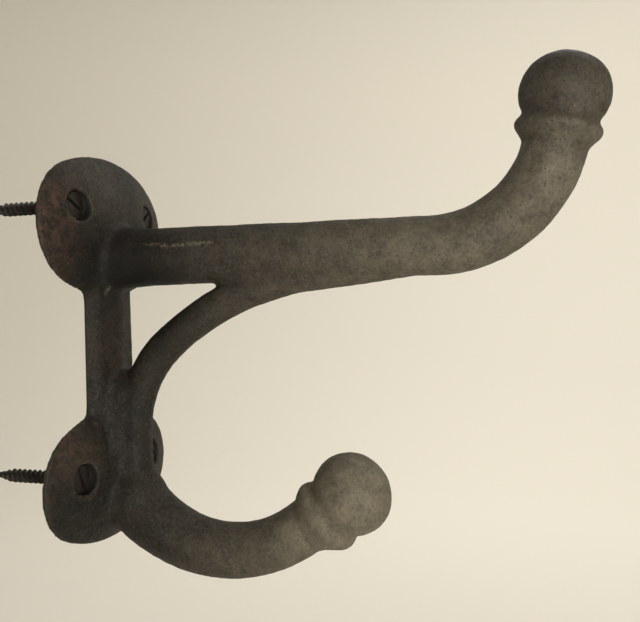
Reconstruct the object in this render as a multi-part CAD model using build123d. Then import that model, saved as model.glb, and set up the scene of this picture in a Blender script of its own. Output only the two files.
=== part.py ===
from build123d import *

import os
from math import atan2, cos, degrees, radians, sin, sqrt, tan

# Double wall hook of sand-cast iron, held to the wall by four slotted countersunk wood screws.
# The hook is one casting: two domed oval plates, the stem between them, a long upper arm that
# turns up, a short lower arm that turns up below it, and a curved brace that runs from the
# underside of the upper arm down the front of the stem. Each arm ends in a collar and a ball.
#
# Frame: +Z up, X along the wall, the wall is the plane Y = 0 and the hook stands out to -Y.
# The origin is the middle of the four screws. Lengths are millimetres, angles are degrees.
# "out" is the distance from the wall and "up" the height, so (out, up) is (-Y, Z).

# ---- Places of the screws and of what they hold ----
screw_spacing_x = 38.5          # between the left and the right screws
screw_spacing_z = 80.0          # between the upper and the lower screws
upper_plate_below_screws = 4.7  # centre of the upper plate, below its own screws
lower_plate_below_screws = 2.2  # centre of the lower plate, below its own screws

# ---- Wall plates, four-arc ovals ----
plate_width = 67.4
upper_plate_height = 44.4
lower_plate_height = 42.0
plate_long_radius = 57.4        # the arcs along the top and the bottom
plate_rim = 1.1                 # thickness at the rim
plate_dome = 5.9                # rise of the dome above the rim

# ---- Stem on the wall, half an ellipse in section ----
stem_width = 23.0
stem_depth = 5.8

# ---- Upper arm ----
arm_radius = 8.5
arm_below_plate_centre = 9.8    # axis of the arm, below the centre of the upper plate
arm_straight = 104.6            # from the wall to the start of the bend
arm_bend_radius = 33.2
arm_bend_angle = 79.0
arm_root_flare = 1.5            # extra radius where the arm leaves the plate
arm_root_length = 16.0          # from the wall to the end of the flare

# ---- Lower arm, a tapered horn on one arc ----
lower_arm_lowest_out = 40.2     # lowest point of its axis, from the wall
lower_arm_drop = 22.0           # lowest point of its axis, below the centre of the lower plate
lower_arm_bend_radius = 41.1
lower_arm_root_radius = 9.7
lower_arm_tip_radius = 7.9
lower_arm_root_angle = -48.0    # heading where it leaves the plate, below level
lower_arm_tip_angle = 36.5      # heading where it meets the collar, above level
lower_arm_sections = 9
shoulder_radius = 10.6          # round mass of metal at the root of the lower arm

# ---- Brace ----
brace_radius = 5.2
brace_reach = 100.0             # where it leaves the upper arm, from the wall
brace_sink = 3.2                # its axis below the arm's axis at that point
brace_lead_length = 30.4        # straight stretch that draws away from the arm
brace_lead_angle = 6.0          # slope of that stretch
brace_turn_angle = 40.7         # slope where the upper sweep hands over to the lower one
brace_short_radius = 36.8       # lower sweep, which turns it straight down
brace_standoff = 9.5            # axis of its upright foot, from the wall

# ---- Balls and collars ----
ball_radius = 11.9              # across the arm
ball_half_length = 11.05        # along the arm
neck_radius = 9.6
collar_run_in = 6.0             # behind its foot a collar tapers away inside the arm
collar_run_in_radius = 4.5
upper_ball_past_bend = 11.8     # centre of the ball, beyond the end of the bend
upper_neck_back = 6.4           # these three run back from the centre of the ball
upper_collar_back = 9.2
upper_collar_foot_back = 13.3
upper_collar_peak = 12.0        # radius of the sharp corner that the rounding takes off
upper_collar_round = 2.0
lower_ball_past_bend = 18.8
lower_ball_tilt = 4.5           # the lower ball and collar stand this much steeper than the arm
lower_neck_back = 6.7
lower_collar_back = 10.4
lower_collar_foot_back = 16.0
lower_collar_peak = 11.8
lower_collar_round = 2.5

# ---- Wood screws, slotted and countersunk ----
screw_length = 32.0             # from the face of the head to the point
head_radius = 4.1
head_rim = 0.35                 # straight edge of the head
head_cone_angle = 90.0          # included
head_web = 1.1                  # casting left between the bottom of the head and the wall
neck_extra = 0.25               # the shank is this much thicker right under the head
neck_behind_wall = 0.3          # where the thicker neck ends, behind the wall plane
shank_radius = 2.1
shank_length = 9.0              # plain shank behind the wall plane
thread_core_radius = 1.45
thread_pitch = 1.8
thread_turns = 9
slot_width = 1.1
slot_depth = 1.2
screw_turns = {
    "upper_left_screw": 25.0,
    "upper_right_screw": -40.0,
    "lower_left_screw": 70.0,
    "lower_right_screw": 5.0,
}
hole_clearance = 0.25           # around the neck of a screw
mouth_clearance = 0.3           # around the head, in the mouth of the countersink

# ---- Places worked out from the sizes above ----
upper_plate_up = screw_spacing_z / 2 - upper_plate_below_screws
lower_plate_up = -screw_spacing_z / 2 - lower_plate_below_screws
arm_up = upper_plate_up - arm_below_plate_centre
lower_arm_centre_up = lower_plate_up - lower_arm_drop + lower_arm_bend_radius
plate_depth = plate_rim + plate_dome
neck_top_radius = shank_radius + neck_extra
head_cone_height = (head_radius - neck_top_radius) / tan(radians(head_cone_angle / 2))
head_face_out = head_web + head_cone_height + head_rim

# The side view: local x runs out from the wall and local y runs up.
side = Plane(origin=(0, 0, 0), x_dir=(0, -1, 0), z_dir=(-1, 0, 0))


def in_side_view(out, up, heading=0.0):
    """Place in the side view, turned so that local x follows a heading above level."""
    return side.location * Pos(out, up, 0) * Rot(0, 0, heading)


def plate_outline(height):
    """Oval of four tangent arcs: two long ones above and below, and one round each end."""
    half_width = plate_width / 2
    half_height = height / 2
    spare = 2 * plate_long_radius * half_height - half_width**2 - half_height**2
    end_radius = spare / (2 * (plate_long_radius - half_width))
    end_centre = half_width - end_radius
    long_centre = plate_long_radius - half_height
    join = degrees(atan2(long_centre, end_centre))
    right = CenterArc((end_centre, 0), end_radius, -join, 2 * join)
    top = CenterArc((0, -long_centre), plate_long_radius, join, 180 - 2 * join)
    left = CenterArc((-end_centre, 0), end_radius, 180 - join, 2 * join)
    bottom = CenterArc((0, long_centre), plate_long_radius, 180 + join, 180 - 2 * join)
    return make_face(right + top + left + bottom)


def wall_plate(height, centre_up):
    """Domed plate: an oval disc trimmed by a long round body that is turned about X."""
    half_height = height / 2
    dome_radius = (half_height**2 + plate_dome**2) / (2 * plate_dome)
    dome_half_width = dome_radius * plate_width / height
    disc = extrude(Plane.XZ * plate_outline(height), amount=plate_depth)
    oval = Ellipse(dome_half_width, dome_radius)
    upper_half = Rectangle(2 * dome_half_width, dome_radius, align=(Align.CENTER, Align.MIN))
    dome = revolve(oval & upper_half, Axis.X)
    return Pos(0, 0, centre_up) * (disc & Pos(0, dome_radius - plate_depth, 0) * dome)


def stem():
    """Half-elliptic bar on the wall, from the middle of one plate to the middle of the other."""
    oval = Ellipse(stem_width / 2, stem_depth)
    front_half = Rectangle(stem_width, stem_depth, align=(Align.CENTER, Align.MAX))
    bar = extrude(oval & front_half, amount=upper_plate_up - lower_plate_up)
    return Pos(0, 0, lower_plate_up) * bar


def knob(neck_back, collar_back, foot_back, foot_radius, peak, rounding):
    """Ball with its collar, along local x, with the centre of the ball at the local origin."""
    oval = Ellipse(ball_half_length, ball_radius)
    upper_half = Rectangle(2 * ball_half_length, ball_radius, align=(Align.CENTER, Align.MIN))
    ball = revolve(oval & upper_half, Axis.X)
    ridge = FilletPolyline(
        (-foot_back, foot_radius),
        (-collar_back, peak),
        (-neck_back, neck_radius),
        radius=rounding,
    )
    run_in_back = foot_back + collar_run_in
    inside = Polyline(
        (-neck_back, neck_radius),
        (0, 0),
        (-run_in_back, 0),
        (-run_in_back, collar_run_in_radius),
        (-foot_back, foot_radius),
    )
    collar = revolve(make_face(ridge + inside), Axis.X)
    return ball + collar


def upper_arm():
    """Round arm: level from the wall, then one bend upwards to the collar and the ball."""
    level = Line((0, arm_up), (arm_straight, arm_up))
    bend = JernArc(level @ 1, (1, 0), arm_bend_radius, arm_bend_angle)
    ball_centre = bend @ 1 + (bend % 1) * upper_ball_past_bend
    tail = Line(bend @ 1, ball_centre)
    path = side * (level + bend + tail)
    rod = sweep(in_side_view(0, arm_up) * Rot(0, 90, 0) * Circle(arm_radius), path=path)
    flare = make_face(
        Polyline(
            (0, 0),
            (arm_root_length, 0),
            (arm_root_length, arm_radius),
            (plate_depth, arm_radius + arm_root_flare),
            (0, arm_radius + arm_root_flare),
            close=True,
        )
    )
    root = in_side_view(0, arm_up) * revolve(flare, Axis.X)
    end = knob(
        upper_neck_back,
        upper_collar_back,
        upper_collar_foot_back,
        arm_radius,
        upper_collar_peak,
        upper_collar_round,
    )
    return rod + root + in_side_view(ball_centre.X, ball_centre.Y, arm_bend_angle) * end


def lower_arm_place(heading):
    """Point of the lower arm's axis where it heads the given angle above level."""
    out = lower_arm_lowest_out + lower_arm_bend_radius * sin(radians(heading))
    up = lower_arm_centre_up - lower_arm_bend_radius * cos(radians(heading))
    return out, up


def lower_arm():
    """Horn that thins from the lower plate to its collar, with a round shoulder at the root."""
    sections = []
    for step in range(lower_arm_sections):
        share = step / (lower_arm_sections - 1)
        heading = lower_arm_root_angle + share * (lower_arm_tip_angle - lower_arm_root_angle)
        thinning = (1 - share) ** 2
        radius = lower_arm_tip_radius + thinning * (lower_arm_root_radius - lower_arm_tip_radius)
        place = in_side_view(*lower_arm_place(heading), heading)
        sections.append(place * Rot(0, 90, 0) * Circle(radius))
    horn = loft(sections)
    shoulder = in_side_view(*lower_arm_place(lower_arm_root_angle)) * Sphere(shoulder_radius)
    tip = in_side_view(*lower_arm_place(lower_arm_tip_angle), lower_arm_tip_angle)
    tail = tip * Rot(0, 90, 0) * Cylinder(
        lower_arm_tip_radius,
        lower_ball_past_bend,
        align=(Align.CENTER, Align.CENTER, Align.MIN),
    )
    end = knob(
        lower_neck_back,
        lower_collar_back,
        lower_collar_foot_back,
        lower_arm_tip_radius,
        lower_collar_peak,
        lower_collar_round,
    )
    knob_place = tip * Pos(lower_ball_past_bend, 0, 0) * Rot(0, 0, lower_ball_tilt)
    return horn + shoulder + tail + knob_place * end


def brace():
    """Curved round bar: out of the upper arm, round towards the stem, then straight down."""
    lead_run = brace_lead_length * cos(radians(brace_lead_angle))
    short_run = brace_short_radius * (1 - sin(radians(brace_turn_angle)))
    long_run = brace_reach - lead_run - short_run - brace_standoff
    long_radius = long_run / (sin(radians(brace_turn_angle)) - sin(radians(brace_lead_angle)))
    foot_depth = sqrt(lower_arm_bend_radius**2 - (lower_arm_lowest_out - brace_standoff) ** 2)
    start = (brace_reach, arm_up - brace_sink)
    lead = PolarLine(start, brace_lead_length, 180 + brace_lead_angle)
    long_turn = brace_turn_angle - brace_lead_angle
    long_sweep = JernArc(lead @ 1, lead % 1, long_radius, long_turn)
    short_sweep = JernArc(long_sweep @ 1, long_sweep % 1, brace_short_radius, 90 - brace_turn_angle)
    foot = Line(short_sweep @ 1, (brace_standoff, lower_arm_centre_up - foot_depth))
    path = side * (lead + long_sweep + short_sweep + foot)
    section = in_side_view(*start, 180 + brace_lead_angle) * Rot(0, 90, 0) * Circle(brace_radius)
    return sweep(section, path=path)


def screw_places():
    """Each screw's name with its place along the wall and its height."""
    half_x = screw_spacing_x / 2
    half_z = screw_spacing_z / 2
    return {
        "upper_left_screw": (-half_x, half_z),
        "upper_right_screw": (half_x, half_z),
        "lower_left_screw": (-half_x, -half_z),
        "lower_right_screw": (half_x, -half_z),
    }


def into_wall(along, up):
    """Place on the wall plane, with local z running into the wall."""
    return Plane(origin=(along, 0, up), x_dir=(1, 0, 0), z_dir=(0, 1, 0)).location


def screw_hole():
    """Clearance hole with a countersink that seats the head and a straight mouth over it."""
    neck_hole = neck_top_radius + hole_clearance
    mouth = head_radius + mouth_clearance
    seat_bottom = -head_web - hole_clearance
    seat_top = seat_bottom - (mouth - neck_hole)
    outline = Polyline(
        (0, neck_behind_wall),
        (neck_hole, neck_behind_wall),
        (neck_hole, seat_bottom),
        (mouth, seat_top),
        (mouth, -2 * plate_depth),
        (0, -2 * plate_depth),
        close=True,
    )
    return revolve(Plane.XZ * make_face(outline), Axis.Z)


def wood_screw(turn):
    """Slotted countersunk screw along local z, with a ridged thread and a sharp point."""
    rim_bottom = -head_face_out + head_rim
    outline = [
        (0, -head_face_out),
        (head_radius, -head_face_out),
        (head_radius, rim_bottom),
        (neck_top_radius, -head_web),
        (shank_radius, neck_behind_wall),
        (shank_radius, shank_length),
        (thread_core_radius, shank_length + thread_pitch / 2),
    ]
    for ridge in range(thread_turns):
        start = shank_length + thread_pitch * (ridge + 0.5)
        outline.append((shank_radius, start + thread_pitch / 2))
        outline.append((thread_core_radius, start + thread_pitch))
    outline.append((0, screw_length - head_face_out))
    blank = revolve(Plane.XZ * make_face(Polyline(*outline, close=True)), Axis.Z)
    slot = Box(3 * head_radius, slot_width, 2 * slot_depth)
    return Rot(0, 0, turn) * (blank - Pos(0, 0, -head_face_out) * slot)


def hook_casting():
    """The whole iron casting, cut off flat at the wall and bored for the screws."""
    body = wall_plate(upper_plate_height, upper_plate_up) + stem()
    body = body + wall_plate(lower_plate_height, lower_plate_up)
    body = body + upper_arm() + lower_arm() + brace()
    behind = Box(
        2 * plate_width,
        plate_width,
        4 * screw_spacing_z,
        align=(Align.CENTER, Align.MIN, Align.CENTER),
    )
    body = body - behind
    for along, up in screw_places().values():
        body = body - into_wall(along, up) * screw_hole()
    return body


os.makedirs("parts", exist_ok=True)
export_step(hook_casting(), "parts/hook_casting.step")
for name, (along, up) in screw_places().items():
    export_step(into_wall(along, up) * wood_screw(screw_turns[name]), f"parts/{name}.step")
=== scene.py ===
import logging
import math
from dataclasses import dataclass, field
from enum import Enum
from itertools import pairwise
from typing import Sequence

import bmesh
import bpy
import numpy as np
from mathutils import Matrix, Vector, noise
from mathutils.bvhtree import BVHTree


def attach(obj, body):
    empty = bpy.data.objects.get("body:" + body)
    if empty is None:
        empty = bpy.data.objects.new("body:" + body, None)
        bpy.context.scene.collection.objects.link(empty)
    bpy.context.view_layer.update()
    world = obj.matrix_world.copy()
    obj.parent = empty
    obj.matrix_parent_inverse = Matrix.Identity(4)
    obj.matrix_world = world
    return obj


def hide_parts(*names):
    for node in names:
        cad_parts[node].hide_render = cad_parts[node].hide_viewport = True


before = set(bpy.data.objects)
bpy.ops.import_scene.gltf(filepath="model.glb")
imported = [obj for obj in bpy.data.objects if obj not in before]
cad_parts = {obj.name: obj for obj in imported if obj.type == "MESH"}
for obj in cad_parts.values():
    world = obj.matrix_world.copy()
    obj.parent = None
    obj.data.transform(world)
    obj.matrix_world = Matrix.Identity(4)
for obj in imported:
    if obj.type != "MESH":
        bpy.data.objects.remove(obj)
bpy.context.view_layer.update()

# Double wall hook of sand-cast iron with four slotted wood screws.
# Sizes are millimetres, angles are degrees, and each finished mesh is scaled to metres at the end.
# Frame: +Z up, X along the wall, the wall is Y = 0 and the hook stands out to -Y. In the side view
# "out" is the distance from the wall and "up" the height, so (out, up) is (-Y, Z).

MM = 0.001
LOG = logging.getLogger("double_wall_hook")


# ---------------------------------------------------------------- places and small mesh helpers


@dataclass(frozen=True)
class Station:
    """One round cross-section of a bar: its place in the side view, its heading and its radius."""

    out: float
    up: float
    heading: float
    radius: float

    def place(self) -> Matrix:
        """Matrix that puts local +Z along the heading, at this station."""
        turn = Matrix.Rotation(math.radians(90 - self.heading), 4, "X")
        return Matrix.Translation((0, -self.out, self.up)) @ turn

    def ring(self) -> Matrix:
        """Matrix that lays a unit circle on this station at its radius."""
        return self.place() @ Matrix.Scale(self.radius, 4)

    def ahead(self, distance: float, radius: float) -> "Station":
        """Station of a given radius, a distance further along the same heading."""
        angle = math.radians(self.heading)
        out = self.out + distance * math.cos(angle)
        return Station(out, self.up + distance * math.sin(angle), self.heading, radius)

    def bend(self, bend_radius: float, angle: float, radii: Sequence[float]) -> list["Station"]:
        """Stations along an arc that turns to the left in the side view.

        Args:
            bend_radius: radius of the arc.
            angle: how far it turns.
            radii: bar radius at each step of the arc, the last one at its end.

        Returns:
            One station for each radius.
        """
        stations = []
        for step, radius in enumerate(radii, start=1):
            heading = self.heading + angle * step / len(radii)
            start, end = math.radians(self.heading), math.radians(heading)
            out = self.out + bend_radius * (math.sin(end) - math.sin(start))
            up = self.up + bend_radius * (math.cos(start) - math.cos(end))
            stations.append(Station(out, up, heading, radius))
        return stations


def blend_radii(first: float, last: float, steps: int, power: float = 1.0) -> list[float]:
    """Radii from first to last: power 1 tapers evenly, and more fades the taper out."""
    return [last + (first - last) * (1 - step / steps) ** power for step in range(1, steps + 1)]


def closed_up(bm: bmesh.types.BMesh) -> bmesh.types.BMesh:
    """Merge doubled vertices, turn every face outwards and give the mesh back."""
    bmesh.ops.remove_doubles(bm, verts=bm.verts, dist=1e-4)
    bmesh.ops.recalc_face_normals(bm, faces=bm.faces)
    return bm


def extrude_cap(bm: bmesh.types.BMesh, cap: bmesh.types.BMFace) -> bmesh.types.BMFace:
    """Extrude a face and give back its far end, still in the same place."""
    grown = bmesh.ops.extrude_face_region(bm, geom=[cap])["geom"]
    return next(item for item in grown if isinstance(item, bmesh.types.BMFace))


def bevel_edges(
    bm: bmesh.types.BMesh, edges: list[bmesh.types.BMEdge], reach: float, segments: int
) -> None:
    """Round edges in a number of steps, with a given reach down each side."""
    bmesh.ops.bevel(
        bm,
        geom=edges,
        offset=reach,
        offset_type="OFFSET",
        affect="EDGES",
        segments=segments,
        profile=0.5,
        material=-1,
    )


def relax(
    bm: bmesh.types.BMesh, verts: list[bmesh.types.BMVert], rounds: int, in_wall: bool = False
) -> None:
    """Smooth vertices a number of times, if need be only in the plane of the wall."""
    for _ in range(rounds):
        bmesh.ops.smooth_vert(
            bm, verts=verts, factor=0.5, use_axis_x=True, use_axis_y=not in_wall, use_axis_z=True
        )


def trace(bm: bmesh.types.BMesh, profile: Sequence[tuple[float, float]]) -> list:
    """Draw a profile of (radius, height) points and give back its vertices and edges."""
    points = [bm.verts.new((radius, 0, height)) for radius, height in profile]
    return points + [bm.edges.new(pair) for pair in pairwise(points)]


def spin(
    bm: bmesh.types.BMesh, geom: list, steps: int, turns: int = 1, rise: float = 0.0
) -> None:
    """Spin geometry about local Z, joined up unless it climbs by a rise at each step."""
    bmesh.ops.spin(
        bm,
        geom=geom,
        cent=(0, 0, 0),
        axis=(0, 0, 1),
        dvec=(0, 0, rise),
        angle=2 * math.pi * turns,
        steps=steps,
        use_merge=not rise,
        use_duplicate=False,
    )


def grow_bar(stations: Sequence[Station], segments: int = 64) -> bmesh.types.BMesh:
    """Round bar grown from a disc, extruded from station to station.

    Args:
        stations: the cross-sections in order.
        segments: sides of the circle.

    Returns:
        The closed bar.
    """
    bm = bmesh.new()
    bmesh.ops.create_circle(
        bm, cap_ends=True, segments=segments, radius=1.0, matrix=stations[0].ring()
    )
    cap = bm.faces[:][0]
    for before, after in pairwise(stations):
        cap = extrude_cap(bm, cap)
        shift = after.ring() @ before.ring().inverted()
        bmesh.ops.transform(bm, matrix=shift, verts=cap.verts[:])
    return closed_up(bm)


def spin_profile(
    profile: Sequence[tuple[float, float]], segments: int = 96
) -> bmesh.types.BMesh:
    """Closed solid of (radius, height) points that start and end on the local Z axis."""
    bm = bmesh.new()
    spin(bm, trace(bm, profile), segments)
    return closed_up(bm)


def round_ridge(bm: bmesh.types.BMesh, radius: float, height: float, reach: float) -> None:
    """Bevel the sharp ring of a spun solid that lies at a given radius and height.

    Args:
        bm: the spun solid.
        radius: radius of the ring.
        height: height of the ring on local Z.
        reach: how far the rounding runs down each side.
    """

    def on_ring(vert: bmesh.types.BMVert) -> bool:
        """Whether a vertex belongs to the ring."""
        wide = math.hypot(vert.co.x, vert.co.y)
        return abs(wide - radius) < 1e-3 and abs(vert.co.z - height) < 1e-3

    ring = [edge for edge in bm.edges if all(on_ring(vert) for vert in edge.verts)]
    bevel_edges(bm, ring, reach, 6)


def add_to(target: bmesh.types.BMesh, piece: bmesh.types.BMesh, keep: bool = False) -> None:
    """Put one mesh into another.

    Args:
        target: the mesh that grows.
        piece: the mesh to add.
        keep: leave the added mesh usable, and otherwise free it.
    """
    holder = bpy.data.meshes.new("holder")
    piece.to_mesh(holder)
    target.from_mesh(holder)
    bpy.data.meshes.remove(holder)
    if not keep:
        piece.free()


def shown(name: str, bm: bmesh.types.BMesh) -> bpy.types.Object:
    """Make an object of a mesh, link it to the scene and free the mesh.

    Args:
        name: name of the object and of its mesh.
        bm: the mesh.

    Returns:
        The object.
    """
    mesh = bpy.data.meshes.new(name)
    bm.to_mesh(mesh)
    bm.free()
    piece = bpy.data.objects.new(name, mesh)
    bpy.context.scene.collection.objects.link(piece)
    return piece


def settle(piece: bpy.types.Object) -> None:
    """Apply an object's modifiers to its mesh."""
    depsgraph = bpy.context.evaluated_depsgraph_get()
    mesh = bpy.data.meshes.new_from_object(piece.evaluated_get(depsgraph))
    old = piece.data
    piece.modifiers.clear()
    piece.data = mesh
    mesh.name = piece.name
    bpy.data.meshes.remove(old)


def smooth_faces(mesh: bpy.types.Mesh) -> None:
    """Shade every face of a mesh smooth."""
    mesh.polygons.foreach_set("use_smooth", [True] * len(mesh.polygons))


# ---------------------------------------------------------------- members of the casting


@dataclass
class WallPlate:
    """Domed oval plate on the wall."""

    height: float
    centre_up: float
    width: float = 67.4
    long_radius: float = 57.4
    rim: float = 1.1
    dome: float = 5.9
    behind: float = 2.0
    rings: int = 14

    def outline_share(self, direction: Vector) -> float:
        """Distance from the centre to the four-arc outline.

        Args:
            direction: unit vector in the plate, x along the wall and y up.

        Returns:
            The distance.
        """
        half_width, half_height = self.width / 2, self.height / 2
        spare = 2 * self.long_radius * half_height - half_width**2 - half_height**2
        end_radius = spare / (2 * (self.long_radius - half_width))
        end_centre = half_width - end_radius
        long_centre = self.long_radius - half_height
        across, upright = abs(direction.x), abs(direction.y)
        if upright * end_centre > across * long_centre:
            along = -upright * long_centre
            return along + math.sqrt(along**2 - long_centre**2 + self.long_radius**2)
        reach = across * end_centre
        on_end = reach + math.sqrt(max(reach**2 - end_centre**2 + end_radius**2, 0))
        along = -upright * long_centre
        on_long = along + math.sqrt(along**2 - long_centre**2 + self.long_radius**2)
        meeting = math.atan2(long_centre, end_centre)
        seen = math.atan2(on_end * upright, on_end * across - end_centre)
        return on_end if seen <= meeting else on_long

    def depth(self, across: float, upright: float) -> float:
        """Thickness of the plate at a point of its face.

        Args:
            across: distance from the centre along the wall.
            upright: distance from the centre up or down.

        Returns:
            The thickness.
        """
        bulge = ((self.height / 2) ** 2 + self.dome**2) / (2 * self.dome)
        stretch = self.height / self.width
        inside = bulge**2 - (across * stretch) ** 2 - upright**2
        return max(math.sqrt(max(inside, 0)) - bulge + self.rim + self.dome, 0.55 * self.rim)

    def build(self) -> bmesh.types.BMesh:
        """Disc drawn out to the oval, given its rim, then crowned ring by ring.

        Returns:
            The closed plate.
        """
        bm = bmesh.new()
        bmesh.ops.create_circle(bm, cap_ends=True, segments=160, radius=1.0)
        for vert in bm.verts:
            vert.co *= self.outline_share(vert.co.normalized())
        bmesh.ops.rotate(
            bm, verts=bm.verts, cent=(0, 0, 0), matrix=Matrix.Rotation(math.pi / 2, 3, "X")
        )
        bmesh.ops.translate(bm, verts=bm.verts, vec=(0, self.behind, 0))
        cap = bm.faces[:][0]
        shrink = 1.0
        for ring in range(self.rings + 1):
            cap = extrude_cap(bm, cap)
            share = math.cos(0.5 * math.pi * ring / (self.rings + 0.6))
            bmesh.ops.scale(bm, vec=(share / shrink, 1, share / shrink), verts=cap.verts[:])
            shrink = share
            for vert in cap.verts:
                vert.co.y = -self.depth(vert.co.x, vert.co.z)
        bmesh.ops.translate(bm, verts=bm.verts, vec=(0, 0, self.centre_up))
        return closed_up(bm)


@dataclass
class Stem:
    """Bar on the wall between the plates, with bevelled sides and a slightly crowned front."""

    top: float
    bottom: float
    half_width: float = 12.1
    shoulder_half_width: float = 9.0
    shoulder_depth: float = 3.95
    crown_depth: float = 5.35
    behind: float = 2.0
    edge_round: float = 1.5

    def build(self) -> bmesh.types.BMesh:
        """Draw the section, extrude it upwards and round its long edges.

        Returns:
            The closed bar.
        """
        section = [
            (-self.half_width, self.behind),
            (-self.half_width, 0.0),
            (-self.shoulder_half_width, -self.shoulder_depth),
            (0.0, -self.crown_depth),
            (self.shoulder_half_width, -self.shoulder_depth),
            (self.half_width, 0.0),
            (self.half_width, self.behind),
        ]
        bm = bmesh.new()
        base = bm.faces.new([bm.verts.new((x, y, self.bottom)) for x, y in section])
        top = extrude_cap(bm, base)
        bmesh.ops.translate(bm, verts=top.verts[:], vec=(0, 0, self.top - self.bottom))
        closed_up(bm)
        long_edges = [
            edge
            for edge in bm.edges
            if abs(edge.verts[0].co.z - edge.verts[1].co.z) > 1 and edge.verts[0].co.y < -0.1
        ]
        bevel_edges(bm, long_edges, self.edge_round, 5)
        return closed_up(bm)


@dataclass
class Knob:
    """Ball with its collar, at the end of an arm."""

    ball_radius: float
    ball_half_length: float
    neck_back: float
    collar_back: float
    foot_back: float
    foot_radius: float
    peak: float
    ridge_reach: float
    neck_radius: float = 9.5
    run_in: float = 6.0
    run_in_radius: float = 4.5

    def from_neck(self, place: Matrix, point: Vector) -> float:
        """Distance from a point to the ring between ball and collar, for a ball's place."""
        local = place.inverted() @ point
        outward = math.hypot(local.x, local.y) - self.neck_radius
        return math.hypot(outward, local.z + self.neck_back)

    def build(self, place: Matrix) -> bmesh.types.BMesh:
        """Squash a ball along its axis and spin the collar behind it.

        Args:
            place: matrix of the ball's centre, local +Z along the arm.

        Returns:
            The ball and the collar, two closed solids that overlap.
        """
        bm = spin_profile(
            [
                (0, -self.foot_back - self.run_in),
                (self.run_in_radius, -self.foot_back - self.run_in),
                (self.foot_radius, -self.foot_back),
                (self.peak, -self.collar_back),
                (self.neck_radius, -self.neck_back),
                (self.neck_radius - 1.2, -self.neck_back + 1.6),
                (0, -self.neck_back + 1.6),
            ]
        )
        round_ridge(bm, self.peak, -self.collar_back, self.ridge_reach)
        ball = bmesh.new()
        bmesh.ops.create_uvsphere(ball, u_segments=96, v_segments=56, radius=1.0)
        size = (self.ball_radius, self.ball_radius, self.ball_half_length)
        bmesh.ops.scale(ball, vec=size, verts=ball.verts)
        add_to(bm, ball)
        bmesh.ops.transform(bm, matrix=place, verts=bm.verts)
        bmesh.ops.recalc_face_normals(bm, faces=bm.faces)
        return bm


@dataclass
class UpperArm:
    """Long arm: level, then one bend upwards to its collar and ball."""

    up: float
    root_radius: float = 9.6
    straight: float = 104.6
    bend_radius: float = 33.2
    bend_angle: float = 79.0
    ball_past_bend: float = 11.8
    knob: Knob = field(
        default_factory=lambda: Knob(11.85, 11.05, 6.5, 9.2, 13.4, 8.8, 12.2, 1.7)
    )

    def turned(self) -> list[Station]:
        """Stations of the bend at the arm's end."""
        start = Station(self.straight, self.up, 0, 8.4)
        return start.bend(self.bend_radius, self.bend_angle, blend_radii(8.4, 8.75, 20))

    def knob_place(self) -> Matrix:
        """Matrix of the ball's centre."""
        return self.turned()[-1].ahead(self.ball_past_bend, 1).place()

    def build(self) -> bmesh.types.BMesh:
        """Grow the arm from the wall, bend it, and set the knob on its end.

        Returns:
            The arm's closed solids.
        """
        level = [
            Station(-2, self.up, 0, self.root_radius + 0.9),
            Station(4, self.up, 0, self.root_radius + 0.5),
            Station(9, self.up, 0, self.root_radius - 0.1),
            Station(16, self.up, 0, 9.0),
            Station(32, self.up, 0, 8.75),
            Station(55, self.up, 0, 8.45),
            Station(80, self.up, 0, 8.4),
            Station(self.straight, self.up, 0, 8.4),
        ]
        turned = self.turned()
        bm = grow_bar([*level, *turned, turned[-1].ahead(self.ball_past_bend, 8.7)])
        add_to(bm, self.knob.build(self.knob_place()))
        return bm


@dataclass
class LowerArm:
    """Short tapered horn on one arc, with a round shoulder where it leaves the plate."""

    lowest_out: float = 40.2
    centre_up: float = -23.1
    bend_radius: float = 41.1
    root_angle: float = -48.0
    tip_angle: float = 36.5
    root_radius: float = 9.7
    tip_radius: float = 7.9
    shoulder_radius: float = 10.0
    ball_past_bend: float = 18.8
    ball_tilt: float = 4.5
    knob: Knob = field(
        default_factory=lambda: Knob(12.0, 11.1, 6.7, 10.4, 16.0, 7.9, 11.75, 2.1)
    )

    def root(self) -> Station:
        """Station where the horn's axis leaves the plate."""
        angle = math.radians(self.root_angle)
        out = self.lowest_out + self.bend_radius * math.sin(angle)
        up = self.centre_up - self.bend_radius * math.cos(angle)
        return Station(out, up, self.root_angle, self.root_radius)

    def horn(self) -> list[Station]:
        """Stations of the horn after its root."""
        turn = self.tip_angle - self.root_angle
        radii = blend_radii(self.root_radius, self.tip_radius, 24, power=2.0)
        return self.root().bend(self.bend_radius, turn, radii)

    def knob_place(self) -> Matrix:
        """Matrix of the ball's centre, which stands a little steeper than the horn's end."""
        centre = self.horn()[-1].ahead(self.ball_past_bend, 1)
        return Station(centre.out, centre.up, centre.heading + self.ball_tilt, 1).place()

    def build(self) -> bmesh.types.BMesh:
        """Grow the horn from its shoulder and set the knob on its end.

        Returns:
            The horn's closed solids.
        """
        root, horn = self.root(), self.horn()
        bm = grow_bar([root, *horn, horn[-1].ahead(self.ball_past_bend, self.tip_radius)])
        shoulder = bmesh.new()
        bmesh.ops.create_uvsphere(
            shoulder,
            u_segments=64,
            v_segments=40,
            radius=self.shoulder_radius,
            matrix=root.place(),
        )
        add_to(bm, shoulder)
        add_to(bm, self.knob.build(self.knob_place()))
        return bm


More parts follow.
